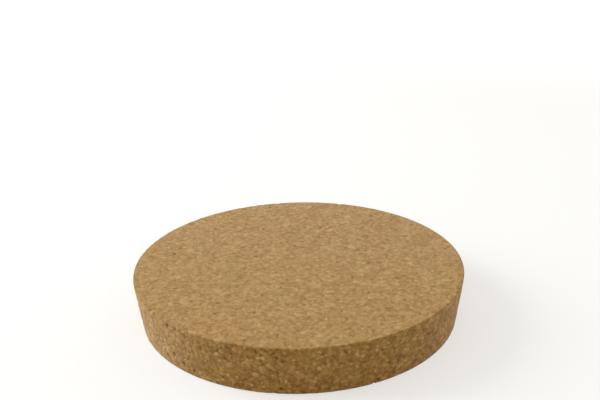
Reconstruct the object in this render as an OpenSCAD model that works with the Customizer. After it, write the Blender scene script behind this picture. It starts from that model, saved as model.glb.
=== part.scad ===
// Tapered stopper of agglomerated cork for a wide-mouthed jar.
// It is cut from one pressed block of cork granules, ground to a taper and
// sanded, so the whole part is a single solid turned about Z.
// +Z is up. The origin is the centre of the narrow face, which it stands on.

/* [Stopper] */
// Diameter of the wide upper face, measured to the sharp corner
top_d = 127; // [60:0.5:250]
// Diameter of the narrow lower face, measured to the sharp corner
base_d = 122; // [50:0.5:240]
// Thickness, from the lower face to the upper face
thickness = 19; // [8:0.5:50]

/* [Eased edges] */
// Radius that sanding leaves on the upper edge
top_edge_r = 0.4; // [0.2:0.1:3]
// Radius that sanding leaves on the lower edge, which leads into the jar
base_edge_r = 0.6; // [0.2:0.1:3]

/* [Hidden] */

$fn = 180;
// Steps in the arc of each eased edge
edge_steps = 6;

// Lean of the flank out of the vertical: positive when the upper face is wider
taper = atan2(top_d - base_d, 2 * thickness);

// Points of a fillet of radius r that rounds a corner of the turned profile.
// corner is the sharp corner; the profile arrives and leaves along the unit
// vectors given by the headings from_deg and to_deg, turning anticlockwise.
function fillet(corner, r, from_deg, to_deg) =
    let (
        turn = to_deg - from_deg,
        setback = r * tan(turn / 2),
        start = corner - setback * [cos(from_deg), sin(from_deg)],
        centre = start + r * [-sin(from_deg), cos(from_deg)]
    )
    [for (i = [0 : edge_steps])
        let (heading = from_deg + turn * i / edge_steps)
        centre + r * [sin(heading), -cos(heading)]];

// Half section of the stopper: out along the lower face, up the flank and
// back along the upper face to the axis.
function stopper_profile() =
    let (
        outward = 0,
        up_flank = 90 - taper,
        inward = 180
    )
    concat(
        [[0, 0]],
        fillet([base_d / 2, 0], base_edge_r, outward, up_flank),
        fillet([top_d / 2, thickness], top_edge_r, up_flank, inward),
        [[0, thickness]]
    );

// The stopper, turned in one piece.
module cork_stopper() {
    color("#b28d5c")
        rotate_extrude()
            polygon(stopper_profile());
}

cork_stopper();
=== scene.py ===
import math
from functools import partial

import bpy
import numpy as np
from mathutils import Matrix, Vector


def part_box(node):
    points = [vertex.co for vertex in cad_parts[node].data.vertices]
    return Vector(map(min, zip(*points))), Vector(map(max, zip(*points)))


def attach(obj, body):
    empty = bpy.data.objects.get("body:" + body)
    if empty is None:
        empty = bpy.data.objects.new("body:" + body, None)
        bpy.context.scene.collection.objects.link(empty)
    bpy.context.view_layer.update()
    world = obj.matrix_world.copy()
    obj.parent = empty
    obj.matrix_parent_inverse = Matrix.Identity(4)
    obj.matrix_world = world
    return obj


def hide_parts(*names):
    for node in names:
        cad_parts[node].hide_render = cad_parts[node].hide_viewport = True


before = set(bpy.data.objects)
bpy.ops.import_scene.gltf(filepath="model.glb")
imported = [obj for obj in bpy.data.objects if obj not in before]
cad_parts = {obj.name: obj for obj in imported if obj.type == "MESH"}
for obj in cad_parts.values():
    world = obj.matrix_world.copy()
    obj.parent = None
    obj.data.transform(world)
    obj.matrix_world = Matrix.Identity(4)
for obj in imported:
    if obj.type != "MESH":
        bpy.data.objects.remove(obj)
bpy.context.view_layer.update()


# ---------------------------------------------------------------- camera
# A small studio camera on a stand, 34 cm from the stopper and looking down
# on it at 22 degrees. It leans by about a degree, and the stopper sits low
# in the frame, with bare white above.
lens_mm = 54.0
camera_distance = 0.339
camera_pitch = math.radians(21.8)
camera_roll = math.radians(-1.22)
camera_aim = Vector((0.0011, 0.0, 0.0453))

camera_data = bpy.data.cameras.new("studio_camera")
camera_data.lens = lens_mm
camera_data.clip_start = 0.01
camera = bpy.data.objects.new("studio_camera", camera_data)
looking = Vector((0.0, math.cos(camera_pitch), -math.sin(camera_pitch)))
tilted = Matrix.Rotation(math.pi / 2 - camera_pitch, 4, "X")
leaning = Matrix.Rotation(camera_roll, 4, "Z")
camera.matrix_world = Matrix.Translation(camera_aim - looking * camera_distance) @ tilted @ leaning
bpy.context.scene.collection.objects.link(camera)
bpy.context.scene.camera = camera


# --------------------------------------------------------------- stopper
# One disc of agglomerated cork: bark crushed to granules of 1 to 3 mm and
# pressed with a little binder. It is sawn from the block, sanded on both
# faces and ground to a taper. Grinding tears granules out, mostly at the rims.
mm = 0.001
upper_diameter = 127 * mm
lower_diameter = 122 * mm
low_corner, high_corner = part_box("cork_stopper")
thickness = high_corner.z - low_corner.z
upper_rim_radius = 0.4 * mm
lower_rim_radius = 0.6 * mm
rim_steps = 6

# The granules. Pressing pushed their borders about, and a share of the large ones is
# broken into small ones.
large_granule = 2.4 * mm
small_granule = 1.3 * mm
crushed_by = 0.5 * mm
crushed_over = 1.4 * mm
broken_share = 0.8

# Their relief, most of which is sanded off on the faces, and the share of the small ones
# that tore out and left a hole.
granule_bulge = 0.14 * mm
bulge_reach = 0.7 * mm
granule_step = 0.10 * mm
sanded_relief = 0.3
hole_depth = 0.34 * mm
hole_slope = 0.45 * mm
torn_on_face = 0.004
torn_on_flank = 0.05
torn_at_rim = 0.10
rim_blend = 0.5 * mm
rim_reach = 1.6 * mm

# How finely the skin is cut at first, and how many triangles of it are kept.
mesh_pitch = 0.38 * mm
most_triangles = 196000


def add_node(tree, kind, inputs=None, **settings):
    """Adds a node. An input is a value, a socket, or a node whose first output it takes."""
    node = tree.nodes.new(kind)
    for name, value in settings.items():
        setattr(node, name, value)
    for key, value in (inputs or {}).items():
        if isinstance(value, bpy.types.Node):
            value = value.outputs[0]
        if isinstance(value, bpy.types.NodeSocket):
            tree.links.new(value, node.inputs[key])
        else:
            node.inputs[key].default_value = value
    return node


def granules(tree, place):
    """The pressed granules round a place in metres, the same for their relief and their colours.

    Gives three chance values of the granule, the metres to its edge, and for the small granule
    that lies there, broken off a large one or not, three chance values and the metres to its edge.
    """
    add = partial(add_node, tree)
    stir = add("ShaderNodeTexNoise", {"Vector": place, "Scale": 1 / crushed_over, "Detail": 2.0})
    both_ways = (2 * crushed_by,) * 3
    one_way = (crushed_by,) * 3
    push = add("ShaderNodeVectorMath", {0: stir.outputs["Color"], 1: both_ways}, operation="MULTIPLY")
    push = add("ShaderNodeVectorMath", {0: push, 1: one_way}, operation="SUBTRACT")
    crushed = add("ShaderNodeVectorMath", {0: place, 1: push}, operation="ADD")
    chances = []
    edges = []
    for size in (large_granule, small_granule):
        spacing = {"Vector": crushed, "Scale": 1 / size}
        cell = add("ShaderNodeTexVoronoi", spacing)
        edge = add("ShaderNodeTexVoronoi", spacing, feature="DISTANCE_TO_EDGE")
        chances.append(cell.outputs["Color"])
        edges.append(add("ShaderNodeMath", {0: edge, 1: size}, operation="MULTIPLY"))
    large, small = chances
    large_edge, small_edge = edges
    lot = add("ShaderNodeSeparateXYZ", {0: large})
    broken = add("ShaderNodeMath", {0: lot, 1: broken_share}, operation="LESS_THAN")
    chance = add("ShaderNodeMix", {0: broken, 4: large, 5: small}, data_type="VECTOR").outputs[1]
    nearest = add("ShaderNodeMath", {0: large_edge, 1: small_edge}, operation="MINIMUM")
    edge = add("ShaderNodeMix", {"Factor": broken, "A": large_edge, "B": nearest})
    return chance, edge, small, small_edge


def turned_disc(sizes):
    """Geometry Nodes that turn the disc from its half section and carve the cork's relief.

    Gives the tree, and the value for each of its inputs by the input's identifier.
    """
    tree = bpy.data.node_groups.new("turned_cork_disc", "GeometryNodeTree")
    add = partial(add_node, tree)
    values = {}
    for name, kind, value in sizes:
        socket = tree.interface.new_socket(name, in_out="INPUT", socket_type="NodeSocket" + kind)
        values[socket.identifier] = value
    tree.interface.new_socket("Stopper", in_out="OUTPUT", socket_type="NodeSocketGeometry")
    size = add("NodeGroupInput").outputs

    # The half section: out along the lower face, up the flank and in along the upper face.
    # Its points 0 and 1 are on the lower face, and 2 and 3 on the upper one.
    lower_radius = add("ShaderNodeMath", {0: size["Lower diameter"], 1: 2.0}, operation="DIVIDE")
    upper_radius = add("ShaderNodeMath", {0: size["Upper diameter"], 1: 2.0}, operation="DIVIDE")
    section = add(
        "GeometryNodeCurvePrimitiveQuadrilateral",
        {
            "Point 1": (0.0, 0.0, 0.0),
            "Point 2": add("ShaderNodeCombineXYZ", {"X": lower_radius}),
            "Point 3": add("ShaderNodeCombineXYZ", {"X": upper_radius, "Z": size["Thickness"]}),
            "Point 4": add("ShaderNodeCombineXYZ", {"Z": size["Thickness"]}),
        },
        mode="POINTS",
    )
    section = add("GeometryNodeSetSplineCyclic", {0: section, "Cyclic": False})
    point = add("GeometryNodeInputIndex")
    at_upper = add("ShaderNodeMath", {0: point, 1: 1.5}, operation="GREATER_THAN")
    rim = add(
        "ShaderNodeMix",
        {"Factor": at_upper, "A": size["Lower rim radius"], "B": size["Upper rim radius"]},
    )
    section = add(
        "GeometryNodeFilletCurve",
        {0: section, "Count": size["Rim steps"], "Radius": rim},
        mode="POLY",
    )

    # A finely cut cube, 2 wide, has no pole: its top, bottom and sides become the disc's.
    # Its square rings are rounded to circles with the same angle from vertex to vertex.
    block = add(
        "GeometryNodeMeshCube",
        {
            "Size": (2.0, 2.0, 2.0),
            "Vertices X": size["Cells across"],
            "Vertices Y": size["Cells across"],
            "Vertices Z": size["Cells up"],
        },
    )
    corner = add("GeometryNodeInputPosition")
    flat = add("ShaderNodeVectorMath", {0: corner, 1: (1.0, 1.0, 0.0)}, operation="MULTIPLY")
    sides = add("ShaderNodeVectorMath", {0: flat}, operation="ABSOLUTE")
    sides = add("ShaderNodeSeparateXYZ", {0: sides})
    ring = add("ShaderNodeMath", {0: sides.outputs[0], 1: sides.outputs[1]}, operation="MAXIMUM")
    eighth_turn = add("ShaderNodeMath", {0: math.pi / 4, 1: ring}, operation="DIVIDE")
    spread = add("ShaderNodeVectorMath", {0: flat, "Scale": eighth_turn}, operation="SCALE")
    spread = add("ShaderNodeVectorMath", {0: spread}, operation="TANGENT")
    outward = add("ShaderNodeVectorMath", {0: spread}, operation="NORMALIZE")

    # How far along the half section each vertex lies, from the middle of the lower face.
    height = add("ShaderNodeSeparateXYZ", {0: corner}).outputs[2]
    lean = add("ShaderNodeMath", {0: upper_radius, 1: lower_radius}, operation="SUBTRACT")
    slope = add("ShaderNodeCombineXYZ", {"X": lean, "Z": size["Thickness"]})
    flank = add("ShaderNodeVectorMath", {0: slope}, operation="LENGTH").outputs["Value"]
    climb = add("ShaderNodeMapRange", {0: height, "From Min": -1.0, "To Max": flank})
    along = add("ShaderNodeMath", {0: lower_radius, 1: ring, 2: climb}, operation="MULTIPLY_ADD")
    both_radii = add("ShaderNodeMath", {0: lower_radius, 1: upper_radius}, operation="ADD")
    above = add("ShaderNodeMath", {0: height, 1: 0.0}, operation="GREATER_THAN")
    inset = add("ShaderNodeMath", {0: 1.0, 1: ring}, operation="SUBTRACT")
    inset = add("ShaderNodeMath", {0: inset, 1: above}, operation="MULTIPLY")
    along = add("ShaderNodeMath", {0: both_radii, 1: inset, 2: along}, operation="MULTIPLY_ADD")
    whole = add("ShaderNodeMath", {0: both_radii, 1: flank}, operation="ADD")
    share = add("ShaderNodeMath", {0: along, 1: whole}, operation="DIVIDE")
    sample = add("GeometryNodeSampleCurve", {"Curves": section, "Factor": share}, mode="FACTOR")
    reached = add("ShaderNodeSeparateXYZ", {0: sample.outputs["Position"]})
    radius = add("ShaderNodeVectorMath", {0: outward, "Scale": reached}, operation="SCALE")
    level = add("ShaderNodeCombineXYZ", {"Z": reached.outputs[2]})
    place = add("ShaderNodeVectorMath", {0: radius, 1: level}, operation="ADD")

    disc = add("GeometryNodeStoreNamedAttribute", {0: block, "Name": "along", "Value": along})
    disc = add("GeometryNodeSetPosition", {0: disc, "Position": place})

    # ground is 1 on the flank and 0 on the faces. torn is the share of granules that came out.
    along = add("GeometryNodeInputNamedAttribute", {"Name": "along"})
    up_flank = add("ShaderNodeMath", {0: along, 1: lower_radius}, operation="SUBTRACT")
    left_over = add("ShaderNodeMath", {0: flank, 1: up_flank}, operation="SUBTRACT")
    within = add("ShaderNodeMath", {0: up_flank, 1: left_over}, operation="MINIMUM")
    ground = add(
        "ShaderNodeMapRange",
        {0: within, "From Max": size["Rim blend"]},
        interpolation_type="SMOOTHSTEP",
    )
    disc = add("GeometryNodeStoreNamedAttribute", {0: disc, "Name": "ground", "Value": ground})
    ground = add("GeometryNodeInputNamedAttribute", {"Name": "ground"})
    torn = add(
        "ShaderNodeMapRange",
        {0: ground, "To Min": size["Torn on face"], "To Max": size["Torn on flank"]},
    )
    from_rim = add("ShaderNodeMath", {0: within}, operation="ABSOLUTE")
    torn = add(
        "ShaderNodeMapRange",
        {0: from_rim, "From Max": size["Rim reach"], "To Min": size["Torn at rim"], "To Max": torn},
        interpolation_type="SMOOTHSTEP",
    )

    # The relief: each granule bulges and lies a little lower or higher, or has left a hole.
    place = add("GeometryNodeInputPosition").outputs[0]
    chance, edge, small, small_edge = granules(tree, place)
    lots = add("ShaderNodeSeparateXYZ", {0: chance})
    sunk = add(
        "ShaderNodeMapRange",
        {0: edge, "From Max": size["Bulge reach"], "To Min": size["Granule bulge"], "To Max": 0.0},
        interpolation_type="SMOOTHSTEP",
    )
    step = size["Granule step"]
    sunk = add("ShaderNodeMath", {0: lots.outputs[2], 1: step, 2: sunk}, operation="MULTIPLY_ADD")
    relief = add("ShaderNodeMapRange", {0: ground, "To Min": size["Sanded relief"]})
    sunk = add("ShaderNodeMath", {0: sunk, 1: relief}, operation="MULTIPLY")
    lots = add("ShaderNodeSeparateXYZ", {0: small})
    out = add("ShaderNodeMath", {0: lots, 1: torn}, operation="LESS_THAN")
    wall = add(
        "ShaderNodeMapRange",
        {0: small_edge, "From Max": size["Hole slope"]},
        interpolation_type="SMOOTHSTEP",
    )
    hollow = add("ShaderNodeMath", {0: out, 1: wall}, operation="MULTIPLY")
    disc = add("GeometryNodeStoreNamedAttribute", {0: disc, "Name": "hollow", "Value": hollow})
    hollow = add("GeometryNodeInputNamedAttribute", {"Name": "hollow"})
    depth = size["Hole depth"]
    sunk = add("ShaderNodeMath", {0: hollow, 1: depth, 2: sunk}, operation="MULTIPLY_ADD")
    inward = add("ShaderNodeMath", {0: sunk, 1: -1.0}, operation="MULTIPLY")
    facing = add("GeometryNodeInputNormal")
    inward = add("ShaderNodeVectorMath", {0: facing, "Scale": inward}, operation="SCALE")
    disc = add("GeometryNodeSetPosition", {0: disc, "Offset": inward})

    disc = add("GeometryNodeSetShadeSmooth", {0: disc})
    disc = add("GeometryNodeRealizeInstances", {0: disc})
    disc = add("GeometryNodeSetMaterial", {0: disc, "Material": size["Material"]})
    add("NodeGroupOutput", {0: disc})
    return tree, values


# Cork's rows of cells are 0.04 mm wide, too fine to show, so its lines are drawn far wider.
line_width = 0.35 * mm
line_stretch = 0.3
line_bump = 0.05 * mm
mottle_size = 1.4 * mm
speck_edge = 0.4 * mm
bark_share = 0.05
pale_on_face = 0.05
pale_on_flank = 0.11
seam_shade = 0.4 * mm
patch_size = 9 * mm
patch_starts = 0.4
patch_full = 0.65

# The cork's browns run from 0, dark, to 1, pale. A contrast is how far its part moves the
# cork along them.
middle_brown = 0.5
tone_contrast = 0.36
seam_contrast = 0.21
line_contrast = 0.22
mottle_contrast = 0.58
bark_contrast = 0.13
pale_contrast = 0.46
# Torn holes are painted darker by this much, a painted shade in them on top of their carved depth.
painted_hole_shade = 0.2
face_browns = ((0.0, "#754c00"), (0.25, "#9b732c"), (0.5, "#af8747"), (1.0, "#cda66c"))
# The flank's browns are darker in the darks and more orange than the faces'. Part of this is the rougher
# ground cork, and part is painted shade: the warmer, deeper look of the flank in shade is put into its
# colour.
flank_browns_with_shade = ((0.0, "#623b00"), (0.25, "#956923"), (0.5, "#af843e"), (1.0, "#d7ad6b"))
rust_tint = "#fff8ee"
cork_roughness = 0.88
cork_ior = 1.45
dust_sheen = 0.2


def linear(code):
    """A colour written as sRGB hex, turned linear."""
    values = [int(code[i : i + 2], 16) / 255 for i in (1, 3, 5)]
    return [v / 12.92 if v <= 0.04045 else ((v + 0.055) / 1.055) ** 2.4 for v in values] + [1.0]


def pressed_cork():
    """Agglomerated cork, sanded and ground.

    It is dull under a faint sheen of cork dust. Each granule has its own brown with fine growth
    lines in it, darker at its edge. Specks of bark and of pale young cork lie between, and torn
    holes are painted darker, a painted shade on top of their carved depth.
    """
    material = bpy.data.materials.new("agglomerated_cork_sanded")
    material.use_nodes = True
    tree = material.node_tree
    tree.nodes.clear()
    add = partial(add_node, tree)
    place = add("ShaderNodeTexCoord").outputs["Object"]
    ground = add("ShaderNodeAttribute", attribute_name="ground").outputs["Fac"]
    hollow = add("ShaderNodeAttribute", attribute_name="hollow").outputs["Fac"]
    chance, edge, small, small_edge = granules(tree, place)
    tone = add("ShaderNodeSeparateXYZ", {0: chance}).outputs[1]
    seam = add("ShaderNodeMapRange", {0: edge, "From Max": seam_shade}, interpolation_type="SMOOTHSTEP")

    # The growth lines run another way in each granule.
    turn = add("ShaderNodeVectorMath", {0: chance, "Scale": 2 * math.pi}, operation="SCALE")
    turned = add("ShaderNodeVectorRotate", {"Vector": place, "Rotation": turn}, rotation_type="EULER_XYZ")
    drawn = add("ShaderNodeVectorMath", {0: turned, 1: (1.0, 1.0, line_stretch)}, operation="MULTIPLY")
    lines = add("ShaderNodeTexNoise", {"Vector": drawn, "Scale": 1 / line_width, "Detail": 3.0})
    mottle = add("ShaderNodeTexNoise", {"Vector": place, "Scale": 1 / mottle_size, "Detail": 0.5})
    specks = add("ShaderNodeSeparateXYZ", {0: small})
    inside = add(
        "ShaderNodeMapRange",
        {0: small_edge, "From Max": speck_edge},
        interpolation_type="SMOOTHSTEP",
    )
    bark = add("ShaderNodeMath", {0: specks.outputs[1], 1: bark_share}, operation="LESS_THAN")
    bark = add("ShaderNodeMath", {0: bark, 1: inside}, operation="MULTIPLY")
    pale_share = add("ShaderNodeMapRange", {0: ground, "To Min": pale_on_face, "To Max": pale_on_flank})
    pale = add("ShaderNodeMath", {0: specks.outputs[2], 1: pale_share}, operation="LESS_THAN")
    pale = add("ShaderNodeMath", {0: pale, 1: inside}, operation="MULTIPLY")

    # The first four go both ways from the middle brown, and the last three go one way only.
    light = middle_brown - (tone_contrast + seam_contrast + line_contrast + mottle_contrast) / 2
    for part, contrast in (
        (tone, tone_contrast),
        (seam, seam_contrast),
        (lines, line_contrast),
        (mottle, mottle_contrast),
        (pale, pale_contrast),
        (bark, -bark_contrast),
        (hollow, -painted_hole_shade),
    ):
        light = add("ShaderNodeMath", {0: part, 1: contrast, 2: light}, operation="MULTIPLY_ADD")

    browns = []
    for stops in (face_browns, flank_browns_with_shade):
        brown = add("ShaderNodeValToRGB", {0: light})
        elements = brown.color_ramp.elements
        while len(elements) < len(stops):
            elements.new(0.5)
        for element, (position, code) in zip(elements, stops):
            element.position = position
            element.color = linear(code)
        browns.append(brown)
    # The flank takes its own browns, which hold painted shade as well as the ground cork's colour.
    colour = add("ShaderNodeMix", {0: ground, 6: browns[0], 7: browns[1]}, data_type="RGBA").outputs[2]
    patch = add("ShaderNodeTexNoise", {"Vector": place, "Scale": 1 / patch_size, "Detail": 1.0})
    rusty = add("ShaderNodeMapRange", {0: patch, "From Min": patch_starts, "From Max": patch_full})
    colour = add(
        "ShaderNodeMix",
        {0: rusty, 6: colour, 7: linear(rust_tint)},
        data_type="RGBA",
        blend_type="MULTIPLY",
    ).outputs[2]

    height = add("ShaderNodeMath", {0: lines, 1: line_bump}, operation="MULTIPLY")
    bump = add("ShaderNodeBump", {"Height": height, "Distance": 1.0})
    shader = add(
        "ShaderNodeBsdfPrincipled",
        {
            "Base Color": colour,
            "Roughness": cork_roughness,
            "IOR": cork_ior,
            "Normal": bump,
            "Sheen Weight": dust_sheen,
        },
    )
    add("ShaderNodeOutputMaterial", {"Surface": shader})
    return material


def unroll(mesh):
    """Lays the skin out flat in the map that its colours are kept through.

    The faces are two discs in opposite corners of the map. The flank is cut into six strips,
    three in each corner that the discs leave free.
    """
    face_radius = 0.29
    face_middle = 0.292
    strip_length = 0.39
    strip_pitch = 0.133
    strip_start = 0.012
    strip_floor = 0.594
    strips = 6
    strip_turn = 2 * math.pi / strips

    ends = np.empty(len(mesh.loops), int)
    mesh.loops.foreach_get("vertex_index", ends)
    sides = np.empty(len(mesh.polygons), int)
    mesh.polygons.foreach_get("loop_total", sides)
    faces = np.repeat(np.arange(len(sides)), sides)
    places = np.empty(3 * len(mesh.vertices))
    mesh.vertices.foreach_get("co", places)
    x, y = places.reshape(-1, 3)[ends, :2].T
    along = np.empty(len(mesh.vertices))
    mesh.attributes["along"].data.foreach_get("value", along)
    along = along[ends]
    flank = math.hypot(thickness, (upper_diameter - lower_diameter) / 2)
    up_flank = along - lower_diameter / 2
    angle = np.arctan2(y, x)

    # A face lies whole on the face, or the strip, that its middle is on.
    middle = (np.bincount(faces, up_flank) / sides)[faces]
    face_angle = np.arctan2(np.bincount(faces, y), np.bincount(faces, x))[faces]
    strip = np.floor(face_angle / strip_turn)
    turn = (angle - (strip + 0.5) * strip_turn + math.pi) % (2 * math.pi) - math.pi
    strip = (strip % strips).astype(int)
    mean_radius = (lower_diameter + upper_diameter) / 4
    strip_scale = strip_length / (strip_turn * mean_radius)
    column, row = np.divmod(strip, strips // 2)
    u = strip_start + strip_length * (turn / strip_turn + 0.5)
    v = strip_floor + strip_pitch * row + strip_scale * up_flank
    flipped = column == 1
    u = np.where(flipped, 1 - u, u)
    v = np.where(flipped, 1 - v, v)
    face_scale = face_radius / (upper_diameter / 2)

    # The lower face is laid out as it is seen from below, so it is mirrored.
    mirror = np.where(middle < 0, -1, 1)
    for on_face, centre, out in (
        (middle < 0, face_middle, along),
        (middle > flank, 1 - face_middle, lower_diameter / 2 + flank + upper_diameter / 2 - along),
    ):
        u = np.where(on_face, centre + mirror * face_scale * out * np.cos(angle), u)
        v = np.where(on_face, centre + face_scale * out * np.sin(angle), v)
    mesh.uv_layers.new(name="OFBake").data.foreach_set("uv", np.stack((u, v), 1).ravel())


form, values = turned_disc(
    (
        ("Upper diameter", "Float", upper_diameter),
        ("Lower diameter", "Float", lower_diameter),
        ("Thickness", "Float", thickness),
        ("Upper rim radius", "Float", upper_rim_radius),
        ("Lower rim radius", "Float", lower_rim_radius),
        ("Rim steps", "Int", rim_steps),
        ("Granule bulge", "Float", granule_bulge),
        ("Bulge reach", "Float", bulge_reach),
        ("Granule step", "Float", granule_step),
        ("Sanded relief", "Float", sanded_relief),
        ("Hole depth", "Float", hole_depth),
        ("Hole slope", "Float", hole_slope),
        ("Torn on face", "Float", torn_on_face),
        ("Torn on flank", "Float", torn_on_flank),
        ("Torn at rim", "Float", torn_at_rim),
        ("Rim blend", "Float", rim_blend),
        ("Rim reach", "Float", rim_reach),
        ("Cells across", "Int", round(math.sqrt(math.pi) * upper_diameter / 2 / mesh_pitch)),
        ("Cells up", "Int", round(thickness / mesh_pitch)),
        ("Material", "Material", pressed_cork()),
    )
)
blank = bpy.data.objects.new("blank", bpy.data.meshes.new("blank"))
bpy.context.scene.collection.objects.link(blank)
turning = blank.modifiers.new("turned_cork_disc", "NODES")
turning.node_group = form
for identifier, value in values.items():
    turning[identifier] = value
graph = bpy.context.evaluated_depsgraph_get()
fine = bpy.data.meshes.new_from_object(blank.evaluated_get(graph), depsgraph=graph)
bpy.data.objects.remove(blank)

# Flat stretches need few faces and holes need many, so the fine mesh is thinned by its shape.
stopper = bpy.data.objects.new("cork_stopper_pressed", fine)
bpy.context.scene.collection.objects.link(stopper)
fine.calc_loop_triangles()
thinning = stopper.modifiers.new("thinning", "DECIMATE")
thinning.ratio = most_triangles / len(fine.loop_triangles)
graph = bpy.context.evaluated_depsgraph_get()
thinned = bpy.data.meshes.new_from_object(stopper.evaluated_get(graph), depsgraph=graph)
stopper.modifiers.remove(thinning)
stopper.data = thinned
unroll(thinned)
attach(stopper, "root")
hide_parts("cork_stopper")


# ---------------------------------------------------------------- studio
# A sheet of white seamless paper under warm white studio air. Both show as
# white. The paper keeps the stopper's shadow and gives back some light, and
# it is lifted to plain white away from the stopper.
floor_width = 6.0
paper_shown = 0.5
paper_lift = 0.55
lift_starts = 0.3
lift_full = 1.0
paper_bounce = 0.58
air_light = 0.57
air_colour = "#fff9ef"

half = floor_width / 2
floor_mesh = bpy.data.meshes.new("paper_floor")
corners = [(-half, -half, 0), (half, -half, 0), (half, half, 0), (-half, half, 0)]
floor_mesh.from_pydata(corners, [], [(0, 1, 2, 3)])
floor = bpy.data.objects.new("paper_floor", floor_mesh)
bpy.context.scene.collection.objects.link(floor)
paper = bpy.data.materials.new("white_seamless_paper")
floor_mesh.materials.append(paper)
air = bpy.data.worlds.new("studio_air")
bpy.context.scene.world = air

for owner in (paper, air):
    owner.use_nodes = True
    tree = owner.node_tree
    tree.nodes.clear()
    add = partial(add_node, tree)
    ray = add("ShaderNodeLightPath").outputs
    seen = add("ShaderNodeMath", {0: ray["Is Camera Ray"], 1: ray["Is Glossy Ray"]}, operation="MAXIMUM")
    seen = add("ShaderNodeMath", {0: seen, 1: ray["Is Transmission Ray"]}, operation="MAXIMUM")
    if owner == paper:
        shaded = add("ShaderNodeBsdfDiffuse", {"Color": (paper_shown, paper_shown, paper_shown, 1.0)})
        place = add("ShaderNodeTexCoord").outputs["Object"]
        away = add("ShaderNodeVectorMath", {0: place}, operation="LENGTH").outputs["Value"]
        span = {"From Min": lift_starts, "From Max": lift_full, "To Min": paper_lift}
        lift = add("ShaderNodeMapRange", {0: away, **span}, interpolation_type="SMOOTHSTEP")
        lift = add("ShaderNodeEmission", {"Color": (1.0, 1.0, 1.0, 1.0), "Strength": lift})
        shown = add("ShaderNodeAddShader", {0: shaded, 1: lift})
        felt = add("ShaderNodeBsdfDiffuse", {"Color": (paper_bounce, paper_bounce, paper_bounce, 1.0)})
        output = "ShaderNodeOutputMaterial"
    else:
        shown = add("ShaderNodeBackground", {"Color": (1.0, 1.0, 1.0, 1.0), "Strength": 1.0})
        felt = add("ShaderNodeBackground", {"Color": linear(air_colour), "Strength": air_light})
        output = "ShaderNodeOutputWorld"
    mixed = add("ShaderNodeMixShader", {0: seen, 1: felt, 2: shown})
    add(output, {"Surface": mixed})

# Two large soft lamps, both a little behind: the key to the left, a weak fill to the right.
# Each has its azimuth from the front and its height in degrees, and its power in watts.
lamp_distance = 1.2
lamp_side = 0.8
for name, azimuth, height, power, colour in (
    ("key_lamp", -105, 27, 11.7, "#f7feff"),
    ("fill_lamp", 110, 15, 2.4, "#ffffff"),
):
    lamp_data = bpy.data.lights.new(name, "AREA")
    lamp_data.shape = "SQUARE"
    lamp_data.size = lamp_side
    lamp_data.energy = power
    lamp_data.color = linear(colour)[:3]
    lamp = bpy.data.objects.new(name, lamp_data)
    azimuth = math.radians(azimuth)
    height = math.radians(height)
    level = math.cos(height)
    direction = Vector((math.sin(azimuth) * level, -math.cos(azimuth) * level, math.sin(height)))
    lamp.location = direction * lamp_distance
    lamp.rotation_euler = direction.to_track_quat("Z", "Y").to_euler()
    bpy.context.scene.collection.objects.link(lamp)

bpy.context.scene.view_settings.view_transform = "Standard"
